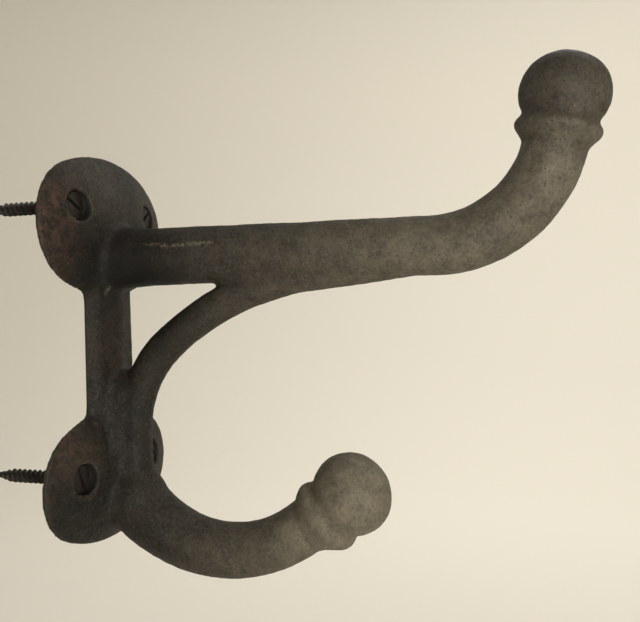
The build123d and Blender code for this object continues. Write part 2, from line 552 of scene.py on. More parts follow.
@dataclass
class Brace:
    """Curved bar from the underside of the upper arm round and down the front of the stem."""

    reach: float = 100.0
    start_up: float = 22.3
    lead_length: float = 30.4
    lead_angle: float = 6.0
    long_radius: float = 86.7
    turn_angle: float = 40.7
    short_radius: float = 36.8
    foot_up: float = -50.4
    radius: float = 5.2

    def build(self) -> bmesh.types.BMesh:
        """Grow the bar along its lead, its two sweeps and its upright foot.

        Returns:
            The closed bar.
        """
        start = Station(self.reach, self.start_up, 180 + self.lead_angle, self.radius - 0.15)
        lead = start.ahead(self.lead_length, self.radius)
        long_turn = self.turn_angle - self.lead_angle
        upper = lead.bend(self.long_radius, long_turn, blend_radii(self.radius, 5.3, 16))
        lower = upper[-1].bend(self.short_radius, 90 - self.turn_angle, blend_radii(5.3, 5.2, 14))
        foot = lower[-1].ahead(lower[-1].up - self.foot_up, 5.4)
        return grow_bar([start, lead, *upper, *lower, foot])


@dataclass
class Web:
    """Metal that fills the grooves between the brace's foot and the stem behind it."""

    base_depth: float = 3.6
    levels: Sequence[tuple[float, float, float, float]] = (
        (-54.0, 7.8, 5.1, 9.6),
        (-30.0, 7.8, 5.1, 9.6),
        (-20.0, 7.2, 5.0, 10.8),
        (-14.0, 5.8, 4.8, 12.6),
        (-9.5, 2.4, 2.6, 14.8),
    )

    def build(self) -> bmesh.types.BMesh:
        """Draw the section at the foot and extrude it upwards from level to level.

        Each level holds its height, half its width at the stem and at the brace, and its depth.

        Returns:
            The closed web.
        """
        foot, base, front, depth = self.levels[0]
        section = [
            (-base, -self.base_depth),
            (-front, -depth),
            (front, -depth),
            (base, -self.base_depth),
        ]
        bm = bmesh.new()
        cap = bm.faces.new([bm.verts.new((x, y, foot)) for x, y in section])
        for before, after in pairwise(self.levels):
            cap = extrude_cap(bm, cap)
            bmesh.ops.translate(bm, verts=cap.verts[:], vec=(0, 0, after[0] - before[0]))
            at_stem = [vert for vert in cap.verts if vert.co.y > -self.base_depth - 0.01]
            at_brace = [vert for vert in cap.verts if vert not in at_stem]
            bmesh.ops.scale(bm, vec=(after[1] / before[1], 1, 1), verts=at_stem)
            bmesh.ops.scale(bm, vec=(after[2] / before[2], 1, 1), verts=at_brace)
            bmesh.ops.translate(bm, verts=at_brace, vec=(0, before[3] - after[3], 0))
        return closed_up(bm)


# ---------------------------------------------------------------- screws


@dataclass
class WoodScrew:
    """Slotted countersunk wood screw."""

    name: str
    along: float
    up: float
    turn: float
    length: float = 32.0
    head_radius: float = 4.05
    head_out: float = 3.2
    head_rim: float = 0.35
    neck_out: float = 1.15
    neck_radius: float = 2.3
    shank_radius: float = 2.05
    shank_length: float = 9.0
    core_radius: float = 1.45
    thread_pitch: float = 1.8
    thread_turns: int = 9
    slot_width: float = 1.1
    slot_depth: float = 1.2

    def blank(self) -> bmesh.types.BMesh:
        """Spin the head, the shank and the tapered core.

        Returns:
            The closed blank, its axis on local Z and its head at the low end.
        """
        thread_end = self.shank_length + self.thread_pitch * self.thread_turns
        point = self.length - self.head_out
        return spin_profile(
            [
                (0, -self.head_out - 0.12),
                (self.head_radius * 0.55, -self.head_out - 0.08),
                (self.head_radius - 0.1, -self.head_out),
                (self.head_radius, -self.head_out + 0.1),
                (self.head_radius, -self.head_out + self.head_rim),
                (self.neck_radius, -self.neck_out),
                (self.shank_radius, 0.4),
                (self.shank_radius, self.shank_length - 0.6),
                (self.core_radius, self.shank_length + 0.6),
                (self.core_radius * 0.86, thread_end - 2.5),
                (self.core_radius * 0.5, thread_end + 1.0),
                (0.1, point - 0.1),
                (0, point),
            ],
            segments=48,
        )

    def thread(self) -> bmesh.types.BMesh:
        """Screw a small triangle round the core, then fade its two ends into the core.

        Returns:
            The closed ridge.
        """
        half = self.thread_pitch * 0.36
        start = self.shank_length - 0.4
        bm = bmesh.new()
        corners = [
            bm.verts.new((self.core_radius * 0.6, 0, start - half)),
            bm.verts.new((self.shank_radius, 0, start)),
            bm.verts.new((self.core_radius * 0.6, 0, start + half)),
        ]
        face = bm.faces.new(corners)
        steps = 28 * self.thread_turns
        rise = self.thread_pitch * self.thread_turns / steps
        spin(bm, [face], steps, self.thread_turns, rise)
        closed_up(bm)
        run_out = self.shank_length + self.thread_pitch * (self.thread_turns - 2.4)
        for vert in bm.verts:
            past = max(vert.co.z - run_out, 0) / (2.6 * self.thread_pitch)
            fade = 1 - 0.62 * min(past, 1)
            vert.co.x *= fade
            vert.co.y *= fade
        return bm

    def build(self) -> bpy.types.Object:
        """Cut the slot in the head, soften the edges and put the screw in its hole.

        Returns:
            The finished screw.
        """
        piece = shown(self.name, self.blank())
        cutter_mesh = bmesh.new()
        bmesh.ops.create_cube(cutter_mesh, size=1.0)
        size = (3 * self.head_radius, self.slot_width, 2 * self.slot_depth)
        bmesh.ops.scale(cutter_mesh, vec=size, verts=cutter_mesh.verts)
        bmesh.ops.translate(cutter_mesh, vec=(0, 0, -self.head_out), verts=cutter_mesh.verts)
        cutter = shown("slot_cutter", cutter_mesh)
        cut = piece.modifiers.new("slot", "BOOLEAN")
        cut.operation, cut.object, cut.solver = "DIFFERENCE", cutter, "EXACT"
        soften = piece.modifiers.new("worn_edges", "BEVEL")
        soften.width, soften.segments, soften.limit_method = 0.09, 2, "ANGLE"
        soften.angle_limit = math.radians(32)
        settle(piece)
        bpy.data.objects.remove(cutter)
        bm = bmesh.new()
        bm.from_mesh(piece.data)
        add_to(bm, self.thread())
        bmesh.ops.rotate(
            bm,
            verts=bm.verts,
            cent=(0, 0, 0),
            matrix=Matrix.Rotation(math.radians(self.turn), 3, "Z"),
        )
        lay = Matrix.Translation((self.along, 0, self.up)) @ Matrix.Rotation(-math.pi / 2, 4, "X")
        bmesh.ops.transform(bm, matrix=lay, verts=bm.verts)
        bmesh.ops.scale(bm, vec=(MM, MM, MM), verts=bm.verts)
        bm.to_mesh(piece.data)
        bm.free()
        smooth_faces(piece.data)
        piece.data.set_sharp_from_angle(angle=math.radians(38))
        return piece


# ---------------------------------------------------------------- the casting


class Soften(Enum):
    """How round the metal is where two members of the casting run together."""

    TIGHT = 2.2
    SNUG = 3.0
    BROAD = 5.0


@dataclass
class Patch:
    """Soft round area of the surface, such as a rust patch."""

    centre: tuple[float, float, float]
    radius: float
    strength: float = 1.0


    def cover(self, places: np.ndarray, edge: float) -> np.ndarray:
        """How much of the patch reaches each place, fading to 0 at edge times the radius."""
        away = np.linalg.norm(places - np.array(self.centre), axis=1) / self.radius
        return self.strength * np.clip(edge - away, 0, 1)


@dataclass
class PaleLine:
    """Thin bright mark between two points of the surface."""

    start: tuple[float, float, float]
    end: tuple[float, float, float]
    width: float = 0.45


@dataclass
class HookCasting:
    """The whole iron casting: members run together, drilled, roughened by the sand and aged, with
    painted light and shade.
    """

    screw_half_x: float = 19.25
    screw_half_z: float = 40.0
    first_voxel: float = 0.5
    skin_voxel: float = 0.63
    mouth_radius: float = 4.45
    neck_hole_radius: float = 2.6
    seat_start: float = 1.2
    flat_fold: float = 0.93
    fold_range: float = 0.6
    neck_reach: float = 2.6
    smoothing: Sequence[tuple[float, int]] = ((0.02, 3), (0.12, 4), (0.3, 6))
    rim_depth: float = 1.5
    rim_clear: float = 6.0
    rim_rounds: int = 24
    rust_patches: Sequence[Patch] = (
        Patch((-31, -2, 37), 10, 1.0),
        Patch((-26, -4, 24), 9, 0.55),
        Patch((-24, -4, -28), 11, 0.6),
        Patch((-32, -1, -38), 9, 0.35),
        Patch((-22, -5, 50), 8, 0.35),
        Patch((28, -2, 30), 10, 0.7),
        Patch((26, -3, -50), 10, 0.6),
        Patch((0, -4, -60), 8, 0.4),
        Patch((0, 0, 0), 16, 0.35),
        Patch((6, -70, 20), 9, 0.3),
        Patch((-4, -128, 38), 8, 0.25),
    )

    # Painted shade: dark patches near the wall, under the upper arm and on the upper ball.
    painted_shade_patches: Sequence[Patch] = (
        Patch((-8, -14, 20), 18, 2.2),
        Patch((-6, -22, 6), 17, 1.6),
        Patch((-5, -14, -24), 14, 0.9),
        Patch((-20, -5, 18), 10, 1.0),
        Patch((-31, -2, -50), 12, 1.2),
        Patch((0, -139, 64), 16, 0.7),
    )

    # Painted light, partly handling wear: pale patches, strongest on the lower ball and horn, and
    # dark patches on the upper ball and bend.
    handled_and_painted_light_patches: Sequence[Patch] = (
        Patch((0, -80, -45), 24, 0.7),
        Patch((-8, -91, -30), 13, 0.5),
        Patch((0, -62, -56), 24, 0.3),
        Patch((0, -40, -62), 16, 0.15),
        Patch((0, -105, 30), 40, 0.15),
        Patch((0, -139, 66), 19, -0.8),
        Patch((0, -124, 32), 15, -0.3),
        Patch((-8, -5, 48), 16, 0.22),
        Patch((22, -4, 42), 14, 0.25),
        Patch((-20, -5, -30), 12, 0.12),
    )

    # The first two are a painted highlight line along the upper arm's side, where its lit top
    # meets its shaded side; the other two are scratched marks.
    scratches_and_highlight_line: Sequence[PaleLine] = (
        PaleLine((-8.8, -15.0, 29.4), (-8.5, -26.0, 28.6)),
        PaleLine((-8.5, -25.0, 27.9), (-8.1, -41.0, 28.6)),
        PaleLine((-6.6, -4.6, 14.4), (-5.4, -4.8, 16.6), 0.6),
        PaleLine((-8.6, -118.0, 47.0), (-8.3, -121.0, 44.0), 0.5),
    )

    def __post_init__(self) -> None:
        """Place the members by the sizes of the screws' pattern."""
        upper_up = self.screw_half_z - 4.7
        lower_up = -self.screw_half_z - 2.2
        self.upper_plate = WallPlate(height=44.4, centre_up=upper_up)
        self.lower_plate = WallPlate(height=42.0, centre_up=lower_up)
        self.stem = Stem(top=upper_up, bottom=lower_up)
        self.upper_arm = UpperArm(up=upper_up - 9.8)
        self.lower_arm = LowerArm(centre_up=lower_up - 22.0 + 41.1)
        self.brace = Brace()
        self.web = Web()

    def members(self) -> dict[str, bmesh.types.BMesh]:
        """Build each closed member of the casting, by name."""
        brace = self.brace.build()
        add_to(brace, self.web.build())
        return {
            "upper_plate": self.upper_plate.build(),
            "lower_plate": self.lower_plate.build(),
            "stem": self.stem.build(),
            "upper_arm": self.upper_arm.build(),
            "lower_arm": self.lower_arm.build(),
            "brace": brace,
        }

    def holes(self) -> bmesh.types.BMesh:
        """Cutter for the four countersunk bores."""
        seat_end = self.seat_start + self.mouth_radius - self.neck_hole_radius
        bm = bmesh.new()
        for side in (-1, 1):
            for height in (-1, 1):
                bore = spin_profile(
                    [
                        (0, 4),
                        (self.neck_hole_radius, 4),
                        (self.neck_hole_radius, -self.seat_start),
                        (self.mouth_radius, -seat_end),
                        (self.mouth_radius + 0.5, -14),
                        (0, -14),
                    ],
                    segments=64,
                )
                at = (side * self.screw_half_x, 0, height * self.screw_half_z)
                lay = Matrix.Translation(at) @ Matrix.Rotation(-math.pi / 2, 4, "X")
                bmesh.ops.transform(bore, matrix=lay, verts=bore.verts)
                add_to(bm, bore)
        return closed_up(bm)

    def reskin(self, casting: bpy.types.Object, voxel: float) -> None:
        """Add a remesh to the casting that makes one even skin of it."""
        skin = casting.modifiers.new("skin", "REMESH")
        skin.mode, skin.voxel_size, skin.adaptivity = "VOXEL", voxel, 0.0

    def run_together(self, members: dict[str, bmesh.types.BMesh]) -> bpy.types.Object:
        """Make one skin over all members, flat at the wall and bored for the screws.

        Args:
            members: the closed members.

        Returns:
            The casting, still in millimetres.
        """
        bm = bmesh.new()
        for member in members.values():
            add_to(bm, member, keep=True)
        casting = shown("iron_casting", bm)
        self.reskin(casting, self.first_voxel)
        cutter = shown("bores", self.holes())
        cut = casting.modifiers.new("bores", "BOOLEAN")
        cut.operation, cut.object, cut.solver = "DIFFERENCE", cutter, "MANIFOLD"
        settle(casting)
        bpy.data.objects.remove(cutter)
        bm = bmesh.new()
        bm.from_mesh(casting.data)
        whole = bm.verts[:] + bm.edges[:] + bm.faces[:]
        cut_edge = bmesh.ops.bisect_plane(
            bm, geom=whole, dist=1e-4, plane_co=(0, 0, 0), plane_no=(0, 1, 0), clear_outer=True
        )["geom_cut"]
        rim = [item for item in cut_edge if isinstance(item, bmesh.types.BMEdge)]
        bmesh.ops.triangle_fill(bm, edges=rim, use_beauty=True)
        closed_up(bm)
        bm.to_mesh(casting.data)
        bm.free()
        self.reskin(casting, self.skin_voxel)
        settle(casting)
        return casting

    def hole_distance(self, point: Vector) -> float:
        """Distance from a point to the nearest screw's axis."""
        across = abs(abs(point.x) - self.screw_half_x)
        return math.hypot(across, abs(abs(point.z) - self.screw_half_z))

    def softness(self, pair: frozenset[str]) -> float:
        """Reach in millimetres of the rounding between two members, given by name."""
        if pair <= {"stem", "upper_arm", "brace"}:
            return Soften.TIGHT.value
        if "upper_plate" in pair or "stem" in pair:
            return Soften.SNUG.value
        return Soften.BROAD.value

    def fillet(self, casting: bpy.types.Object, members: dict[str, bmesh.types.BMesh]) -> None:
        """Fill the corners between members, as the sand's rounded edges leave them.

        Args:
            casting: the casting's skin.
            members: the members under it.
        """
        trees = {name: BVHTree.FromBMesh(member) for name, member in members.items()}
        bm = bmesh.new()
        bm.from_mesh(casting.data)
        bm.normal_update()
        soft: list[tuple[float, bmesh.types.BMVert]] = []
        moves: list[tuple[bmesh.types.BMVert, Vector]] = []
        for vert in bm.verts:
            if vert.co.y > -0.5:
                continue
            near = []
            for name, tree in trees.items():
                found = tree.find_nearest(vert.co, Soften.BROAD.value)
                if found[0] is not None:
                    near.append((found[3], name, found[1]))
            if len(near) < 2:
                continue
            near.sort(key=lambda item: item[0])
            (_, first, face_out), (gap, second, other_out) = near[0], near[1]
            reach = self.softness(frozenset((first, second)))
            if gap >= reach:
                continue
            fold = self.flat_fold - face_out.dot(other_out)
            parting = min(max(fold / self.fold_range, 0), 1)
            share = (1 - gap / reach) ** 2 * parting
            moves.append((vert, vert.normal * (reach / 4 * share)))
            soft.append((share, vert))
        for vert, move in moves:
            vert.co += move
        for arm in (self.upper_arm, self.lower_arm):
            place = arm.knob_place()
            for vert in bm.verts:
                near_neck = 1 - arm.knob.from_neck(place, vert.co) / self.neck_reach
                if near_neck > 0:
                    soft.append((0.6 * near_neck, vert))
        for least, rounds in self.smoothing:
            relax(bm, [vert for share, vert in soft if share > least], rounds)
        bm.to_mesh(casting.data)
        bm.free()

    def sand_height(self, point: Vector) -> float:
        """Height in millimetres that the sand mould gives the surface at a point."""
        wave = 0.24 * noise.noise(point / 19) + 0.15 * noise.noise(point / 7.5 + Vector((9, 4, 2)))
        grit = 0.085 * noise.noise(point / 2.6) + 0.05 * noise.noise(point / 1.45)
        cells, centres = noise.voronoi(point / 5.2)
        dent = 0.0
        if noise.noise(centres[0] * 3.1) > 0.22:
            dent = 0.22 * max(1 - cells[0] / 0.27, 0) ** 1.5
        lump = 0.0
        if noise.noise(centres[0] * 2.3 + Vector((5, 5, 5))) > 0.42:
            lump = 0.16 * max(1 - cells[0] / 0.24, 0) ** 1.2
        return wave + grit - dent + lump

    def parting_line(self, point: Vector) -> float:
        """Height of the thin fin that the two halves of the mould leave on the middle plane."""
        if point.y > -9:
            return 0.0
        fin = max(1 - abs(point.x + 0.3 * noise.noise(point / 14)) / 0.75, 0)
        return 0.13 * fin * max(0.35 + noise.noise(point / 9), 0)

    def roughen(self, casting: bpy.types.Object) -> None:
        """Move the skin by the sand's relief and the parting line, keeping the back flat."""
        bm = bmesh.new()
        bm.from_mesh(casting.data)
        rim = [
            vert
            for vert in bm.verts
            if vert.co.y > -self.rim_depth and self.hole_distance(vert.co) > self.rim_clear
        ]
        relax(bm, rim, self.rim_rounds, in_wall=True)
        bm.normal_update()
        moves = []
        for vert in bm.verts:
            point = vert.co
            if point.y > -0.12:
                moves.append(Vector((0, -point.y, 0)))
                continue
            calm = min(max((-point.y - 0.2) / 1.5, 0), 1)
            if self.hole_distance(point) < self.mouth_radius + 0.4:
                calm *= 0.15
            height = self.sand_height(point) * calm + self.parting_line(point)
            moves.append(vert.normal * height)
        for vert, move in zip(bm.verts, moves):
            vert.co += move
        bm.to_mesh(casting.data)
        bm.free()

    def age(self, casting: bpy.types.Object) -> None:
        """Write the rust, wear, painted shade, dust, marks, painted highlight line and painted
        light of each point into attributes.
        """
        mesh = casting.data
        count = len(mesh.vertices)
        places = np.zeros(count * 3, np.float32)
        normals = np.zeros(count * 3, np.float32)
        mesh.vertices.foreach_get("co", places)
        mesh.vertices.foreach_get("normal", normals)
        places, normals = places.reshape(-1, 3), normals.reshape(-1, 3)
        ends = np.zeros(len(mesh.edges) * 2, np.int32)
        mesh.edges.foreach_get("vertices", ends)
        first, second = ends.reshape(-1, 2).T
        degree = np.bincount(ends, minlength=count).astype(float)

        def neighbours(values: np.ndarray) -> np.ndarray:
            """Mean of a value over each vertex's neighbours."""
            total = np.bincount(first, values[second], count)
            return (total + np.bincount(second, values[first], count)) / degree

        middle = np.stack([neighbours(places[:, axis]) for axis in range(3)], axis=1)
        bulge = -((middle - places) * normals).sum(axis=1)
        for _ in range(5):
            bulge = 0.4 * bulge + 0.6 * neighbours(bulge)
        rust = np.zeros(count)
        for patch in self.rust_patches:
            rust = np.maximum(rust, patch.cover(places, 1.35))
        wear = np.clip(bulge * 22 - 0.25, 0, 1)
        # Painted shade: darker in concave creases, darkest inside the bores, and over the listed
        # dark patches.
        painted_shade = np.clip(-bulge * 26, 0, 1)
        from_bore = np.hypot(
            np.abs(np.abs(places[:, 0]) - self.screw_half_x),
            np.abs(np.abs(places[:, 2]) - self.screw_half_z),
        )
        painted_shade[from_bore < self.mouth_radius + 0.15] = 2.2
        dust = np.clip(normals[:, 2], 0, 1)
        scratch_and_highlight = np.zeros(count)
        for mark in self.scratches_and_highlight_line:
            start, run = np.array(mark.start), np.array(mark.end) - np.array(mark.start)
            along = np.clip((places - start) @ run / (run @ run), 0, 1)
            away = np.linalg.norm(places - start - along[:, None] * run, axis=1)
            scratch_and_highlight = np.maximum(scratch_and_highlight, np.clip(1.5 - away / mark.width, 0, 1))
        # Painted light, partly handling wear: paler with distance from the wall, standing in for
        # the wall's shade near it, plus the patches.
        handled_and_painted_light = np.clip((-places[:, 1] - 8) / 155, 0, 1)
        for patch in self.handled_and_painted_light_patches:
            handled_and_painted_light += patch.cover(places, 1.2)
        handled_and_painted_light = np.clip(handled_and_painted_light, 0, 1.5)
        for patch in self.painted_shade_patches:
            painted_shade += patch.cover(places, 1.2)
        for name, values in (
            ("rust", rust),
            ("wear", wear),
            ("painted_shade", painted_shade),
            ("dust", dust),
            ("handled_and_painted_light", handled_and_painted_light),
            ("scratch_and_highlight", scratch_and_highlight),
        ):
            layer = mesh.attributes.new(name, "FLOAT", "POINT")
            layer.data.foreach_set("value", values.astype(np.float32))

    def build(self) -> bpy.types.Object:
        """Cast, drill, fillet and roughen the hook, weather it, and paint light and shade into its
        colour attributes.

        Returns:
            The finished casting in metres.
        """
        members = self.members()
        casting = self.run_together(members)
        self.fillet(casting, members)
        for member in members.values():
            member.free()
        self.roughen(casting)
        smooth_faces(casting.data)
        self.age(casting)
        casting.data.transform(Matrix.Scale(MM, 4))
        return casting


# ---------------------------------------------------------------- finishes


Colour = tuple[float, float, float]
SOFT_WHITE: Colour = (1.0, 0.98, 0.94)


def tone(red: int, green: int, blue: int) -> tuple[float, float, float, float]:
    """Linear colour of an sRGB triple from 0 to 255.

    Args:
        red: red part.
        green: green part.
        blue: blue part.

    Returns:
        The linear colour with full alpha.
    """

    def linear(part: int) -> float:
        """One channel from sRGB to linear."""
        share = part / 255
        return share / 12.92 if share <= 0.04045 else ((share + 0.055) / 1.055) ** 2.4

    return linear(red), linear(green), linear(blue), 1.0


class Sheet:
    """A material's node sheet, with short ways to add the nodes used here."""

    def __init__(self, name: str) -> None:
        """Start a material of a given name with only its shader and output."""
        self.material = bpy.data.materials.new(name)
        self.material.use_nodes = True
        self.nodes = self.material.node_tree.nodes
        self.links = self.material.node_tree.links
        self.shader = self.nodes["Principled BSDF"]
        place = self.nodes.new("ShaderNodeTexCoord")
        scaled = self.nodes.new("ShaderNodeMapping")
        scaled.inputs["Scale"].default_value = (1000, 1000, 1000)
        self.links.new(place.outputs["Object"], scaled.inputs["Vector"])
        self.place = scaled.outputs["Vector"]

    def attribute(self, name: str) -> bpy.types.NodeSocket:
        """Value of a mesh attribute."""
        node = self.nodes.new("ShaderNodeAttribute")
        node.attribute_name = name
        return node.outputs["Fac"]

    def noise(
        self, size: float, detail: float = 3.0, rough: float = 0.55, shift: float = 0.0
    ) -> bpy.types.NodeSocket:
        """Noise with features of a given size in millimetres.

        Args:
            size: size of the largest features.
            detail: octaves.
            rough: strength of the finer octaves.
            shift: moves the pattern, so that two noises differ.

        Returns:
            The noise from 0 to 1.
        """
        node = self.nodes.new("ShaderNodeTexNoise")
        node.inputs["Scale"].default_value = 1 / size
        node.inputs["Detail"].default_value = detail
        node.inputs["Roughness"].default_value = rough
        source = self.place
        if shift:
            moved = self.nodes.new("ShaderNodeMapping")
            moved.inputs["Location"].default_value = (shift, -0.7 * shift, 1.3 * shift)
            self.links.new(self.place, moved.inputs["Vector"])
            source = moved.outputs["Vector"]
        self.links.new(source, node.inputs["Vector"])
        return node.outputs["Fac"]

    def dots(self, size: float, radius: float, soft: float = 0.5) -> bpy.types.NodeSocket:
        """Scattered dots, 1 inside, of a radius that is a share of the size between them."""
        node = self.nodes.new("ShaderNodeTexVoronoi")
        node.inputs["Scale"].default_value = 1 / size
        self.links.new(self.place, node.inputs["Vector"])
        return self.span(node.outputs["Distance"], radius, radius * (1 - soft))

    def span(
        self,
        value: bpy.types.NodeSocket,
        low: float,
        high: float,
        first: float = 0.0,
        last: float = 1.0,
    ) -> bpy.types.NodeSocket:
        """Map a value from low..high to first..last, clamped.

        Args:
            value: the value.
            low: what becomes first.
            high: what becomes last.
            first: result at low.
            last: result at high.

        Returns:
            The mapped value.
        """
        node = self.nodes.new("ShaderNodeMapRange")
        ends = {"From Min": low, "From Max": high, "To Min": first, "To Max": last}
        for name, number in ends.items():
            node.inputs[name].default_value = number
        self.links.new(value, node.inputs["Value"])
        return node.outputs["Result"]

    def feed(self, name: str, value: bpy.types.NodeSocket) -> None:
        """Lead a value into one of the shader's sockets."""
        self.links.new(value, self.shader.inputs[name])

    def sum(
        self, first: bpy.types.NodeSocket, second: bpy.types.NodeSocket | float, kind: str = "ADD"
    ) -> bpy.types.NodeSocket:
        """Combine two values with a maths node.

        Args:
            first: the first value.
            second: the second value or a number.
            kind: the node's operation.

        Returns:
            The result.
        """
        node = self.nodes.new("ShaderNodeMath")
        node.operation = kind
        self.links.new(first, node.inputs[0])
        if isinstance(second, (int, float)):
            node.inputs[1].default_value = second
        else:
            self.links.new(second, node.inputs[1])
        return node.outputs[0]

    def times(
        self, first: bpy.types.NodeSocket, second: bpy.types.NodeSocket | float
    ) -> bpy.types.NodeSocket:
        """Product of two values."""
        return self.sum(first, second, "MULTIPLY")

    def ramp(
        self, value: bpy.types.NodeSocket, stops: Sequence[tuple[float, Sequence[float]]]
    ) -> bpy.types.NodeSocket:
        """Colour ramp.

        Args:
            value: where on the ramp.
            stops: (position, colour) pairs.

        Returns:
            The colour.
        """
        node = self.nodes.new("ShaderNodeValToRGB")
        elements = node.color_ramp.elements
        while len(elements) < len(stops):
            elements.new(0.5)
        for element, (position, colour) in zip(elements, stops):
            element.position = position
            element.color = colour
        self.links.new(value, node.inputs["Fac"])
        return node.outputs["Color"]

    def mix(
        self,
        share: bpy.types.NodeSocket,
        below: bpy.types.NodeSocket,
        above: bpy.types.NodeSocket | Sequence[float],
    ) -> bpy.types.NodeSocket:
        """Lay one colour over another.

        Args:
            share: how much of the upper colour shows.
            below: the lower colour.
            above: the upper colour.

        Returns:
            The mixed colour.
        """
        node = self.nodes.new("ShaderNodeMix")
        node.data_type = "RGBA"
        self.links.new(share, node.inputs["Factor"])
        self.links.new(below, node.inputs[6])
        if isinstance(above, bpy.types.NodeSocket):
            self.links.new(above, node.inputs[7])
        else:
            node.inputs[7].default_value = above
        return node.outputs[2]

    def coat(
        self,
        below: bpy.types.NodeSocket,
        share: bpy.types.NodeSocket,
        most: float,
        colour: Sequence[float],
    ) -> bpy.types.NodeSocket:
        """Lay a colour over another by a share, and at most by most where the share is 1."""
        return self.mix(self.times(share, most), below, colour)

    def bump(self, height: bpy.types.NodeSocket, strength: float, distance: float) -> None:
        """Bump the shader by a height from 0 to 1 that stands for a distance in millimetres."""
        node = self.nodes.new("ShaderNodeBump")
        node.inputs["Strength"].default_value = strength
        node.inputs["Distance"].default_value = distance * MM
        self.links.new(height, node.inputs["Height"])
        self.feed("Normal", node.outputs["Normal"])


@dataclass(frozen=True)
class SandCastIron:
    """Old sand-cast iron: dark, mottled olive and brown, dusty, with rust; paler towards the ends
    by painted light and wear, with painted shade and a painted highlight line.
    """

    name: str = "sand_cast_iron"
    dark: Sequence[float] = tone(8, 7, 5)
    olive: Sequence[float] = tone(27, 26, 19)
    brown: Sequence[float] = tone(29, 25, 20)
    pale: Sequence[float] = tone(50, 46, 38)
    # Pale coat of painted light and handling wear towards the ends.
    rubbed_and_painted_light: Sequence[float] = tone(120, 112, 95)
    rust: Sequence[float] = tone(74, 52, 40)
    pit: Sequence[float] = tone(12, 10, 8)
    speck: Sequence[float] = tone(104, 97, 82)
    dust: Sequence[float] = tone(84, 78, 66)

    def make(self) -> bpy.types.Material:
        """Build the finish's material."""
        sheet = Sheet(self.name)
        hue = sheet.span(sheet.noise(7.0, 4, 0.6, 31), 0.38, 0.62)
        grain = sheet.noise(0.9, 4, 0.7, 5)
        cloud = sheet.noise(5.0, 5, 0.62)
        brown = sheet.ramp(cloud, [(0.0, self.brown), (1.0, self.brown)])
        body = sheet.mix(hue, brown, self.olive)
        depth = sheet.span(sheet.sum(cloud, grain), 1.08, 0.82)
        body = sheet.coat(body, depth, 0.8, self.dark)
        light = sheet.span(sheet.sum(sheet.noise(2.6, 5, 0.68, 17), grain), 1.02, 1.3)
        body = sheet.coat(body, light, 0.65, self.pale)
        # Painted light, partly handling wear: a pale coat towards the arms' ends and on the lower
        # ball.
        patchiness = sheet.span(sheet.sum(cloud, sheet.times(grain, 0.8)), 0.35, 1.35)
        handled_and_painted_light = sheet.times(sheet.attribute("handled_and_painted_light"), patchiness)
        body = sheet.coat(body, handled_and_painted_light, 0.9, self.rubbed_and_painted_light)
        worn = sheet.times(sheet.attribute("wear"), sheet.span(grain, 0.35, 0.6))
        body = sheet.coat(body, worn, 0.3, self.dust)
        settled = sheet.times(sheet.attribute("dust"), sheet.span(grain, 0.4, 0.7))
        body = sheet.coat(body, settled, 0.12, self.dust)
        eaten = sheet.span(sheet.noise(3.2, 6, 0.7, 53), 0.42, 0.6)
        rusty = sheet.times(sheet.attribute("rust"), eaten)
        body = sheet.coat(body, rusty, 0.85, self.rust)
        # Painted shade: a dark coat in creases, in the bores and near the wall.
        body = sheet.coat(body, sheet.attribute("painted_shade"), 0.35, self.dark)
        pits = sheet.times(sheet.dots(1.15, 0.24), sheet.span(cloud, 0.42, 0.6))
        body = sheet.coat(body, pits, 0.6, self.pit)
        specks = sheet.times(sheet.dots(1.7, 0.15), sheet.span(hue, 0.3, 0.8))
        body = sheet.coat(body, specks, 0.4, self.speck)
        # Pale scratched marks and a painted highlight line along the upper arm.
        bared_and_highlight = sheet.times(sheet.attribute("scratch_and_highlight"), sheet.span(grain, 0.4, 0.55))
        body = sheet.coat(body, bared_and_highlight, 0.6, self.speck)
        sheet.feed("Base Color", body)
        sheet.feed("Roughness", sheet.span(sheet.span(grain, 0.9, 0.1), 0.0, 1.0, 0.52, 0.82))
        sheet.shader.inputs["Metallic"].default_value = 0.0
        sheet.shader.inputs["Specular IOR Level"].default_value = 0.24
        height = sheet.sum(grain, sheet.times(pits, -0.8))
        height = sheet.sum(height, sheet.times(sheet.noise(0.35, 2, 0.5, 3), 0.5))
        sheet.bump(height, 0.75, 0.22)
        return sheet.material


@dataclass(frozen=True)
class BlackenedSteel:
    """Screw steel, blackened, dull, with a little brown rust."""

    name: str = "blackened_screw_steel"
    black: Sequence[float] = tone(22, 20, 17)
    grey: Sequence[float] = tone(46, 42, 36)
    rust: Sequence[float] = tone(60, 41, 30)

    def make(self) -> bpy.types.Material:
        """Build the finish's material."""
        sheet = Sheet(self.name)
        cloud = sheet.noise(1.6, 4, 0.6)
        grain = sheet.noise(0.3, 3, 0.6, 8)
        body = sheet.ramp(cloud, [(0.38, self.black), (0.7, self.grey)])
        stained = sheet.span(sheet.noise(2.3, 5, 0.7, 41), 0.5, 0.68)
        body = sheet.coat(body, stained, 0.75, self.rust)
        sheet.feed("Base Color", body)
        sheet.feed("Roughness", sheet.span(cloud, 0.0, 1.0, 0.4, 0.7))
        sheet.shader.inputs["Metallic"].default_value = 0.5
        sheet.bump(grain, 0.4, 0.05)
        return sheet.material


@dataclass(frozen=True)
class StudioPaper:
    """Pale matt paper of the studio's floor and sweep."""

    name: str = "studio_paper"
    colour: Sequence[float] = tone(236, 231, 220)

    def make(self) -> bpy.types.Material:
        """Build the finish's material."""
        sheet = Sheet(self.name)
        sheet.shader.inputs["Base Color"].default_value = self.colour
        sheet.shader.inputs["Roughness"].default_value = 0.95
        sheet.shader.inputs["Specular IOR Level"].default_value = 0.1
        return sheet.material


# ---------------------------------------------------------------- studio


